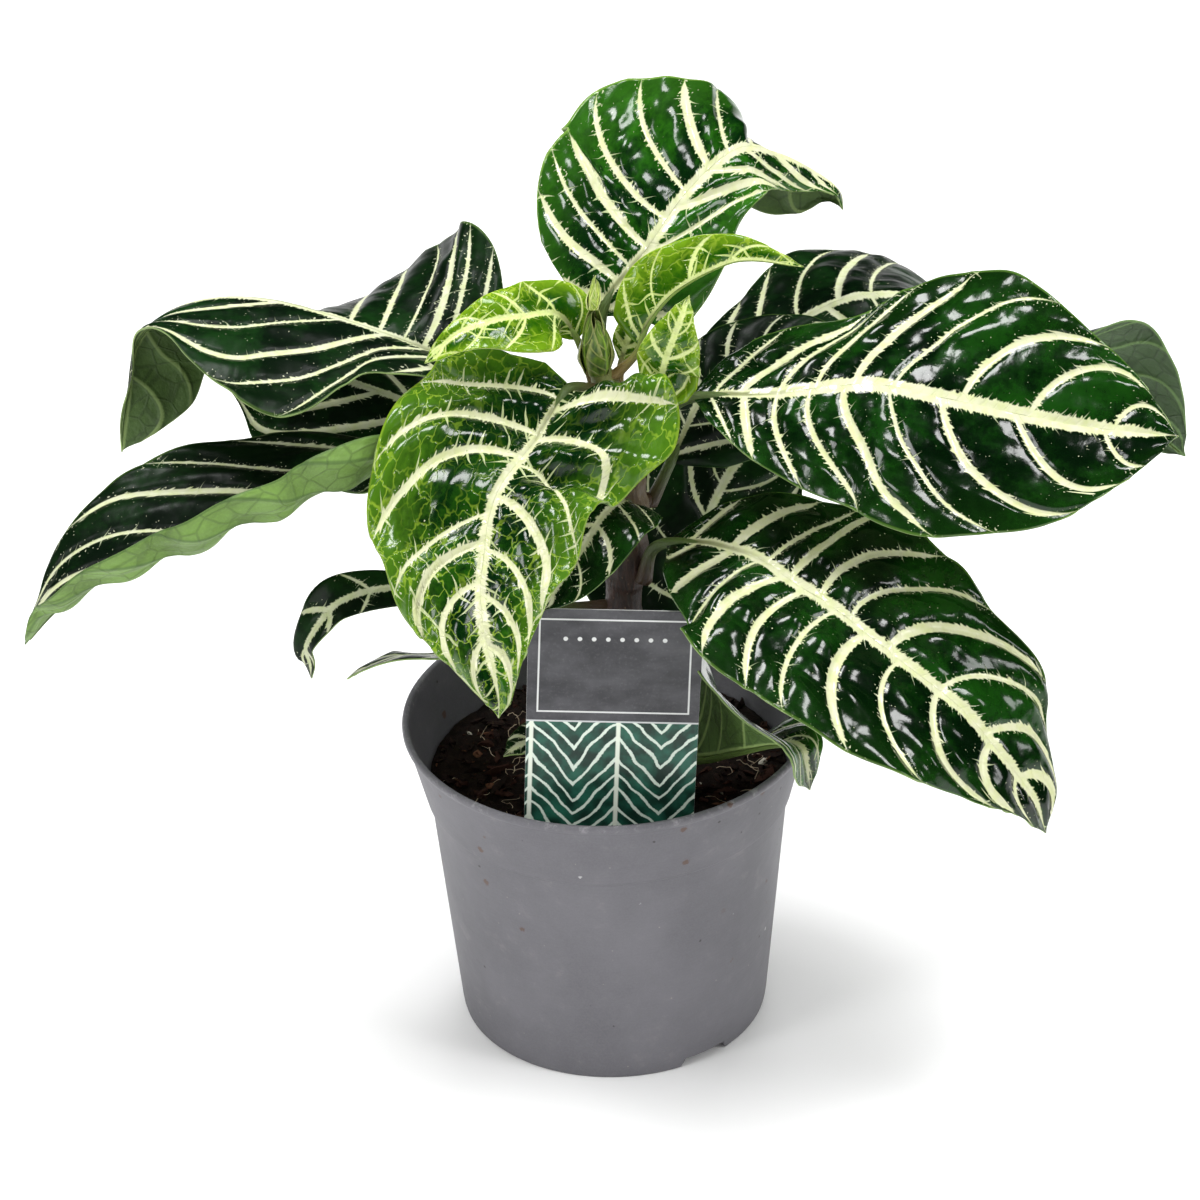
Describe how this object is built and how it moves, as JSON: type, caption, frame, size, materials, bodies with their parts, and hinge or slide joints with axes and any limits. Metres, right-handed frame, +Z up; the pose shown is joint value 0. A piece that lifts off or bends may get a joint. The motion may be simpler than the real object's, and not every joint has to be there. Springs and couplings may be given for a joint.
{
  "type": "potted zebra plant",
  "caption": "Leafy houseplant with broad dark green leaves and cream veins on a short woody stem, in a round nursery pot with soil and a plain plant tag.",
  "frame": {"origin": "centre of the underside of the pot, on the ground", "axes": "+Z up along the pot's axis, -Y towards the front, where the tag faces, +X to the right seen from the front"},
  "size_m": [0.3369, 0.1846, 0.2716],
  "materials": {
    "pot_plastic": "matte",
    "potting_soil": "matte",
    "stem_bark": "matte",
    "tag_plastic": "satin",
    "bud_green": "satin",
    "leaf_green": "satin",
    "young_leaf_green": "satin"
  },
  "bodies": {
    "root": {"pot": "pot_plastic", "soil": "potting_soil", "stem": "stem_bark", "plant_tag": "tag_plastic", "bud_large": "bud_green", "bud_small": "young_leaf_green", "leaf_top": "leaf_green", "leaf_left_upper": "leaf_green", "leaf_left_middle": "leaf_green", "leaf_left_low": "leaf_green", "leaf_front": "leaf_green", "leaf_right_upper": "leaf_green", "leaf_right_lower": "leaf_green", "leaf_right_back": "leaf_green", "leaf_right_middle": "leaf_green", "leaf_back_low": "leaf_green", "leaf_front_small": "leaf_green", "leaf_left_small": "leaf_green", "leaf_left_narrow": "leaf_green", "leaf_right_low": "leaf_green", "leaf_low_tip": "leaf_green", "young_leaf_right": "young_leaf_green", "young_leaf_upright": "young_leaf_green", "young_leaf_left": "young_leaf_green", "young_leaf_wrapped": "young_leaf_green"}
  },
  "joints": []
}
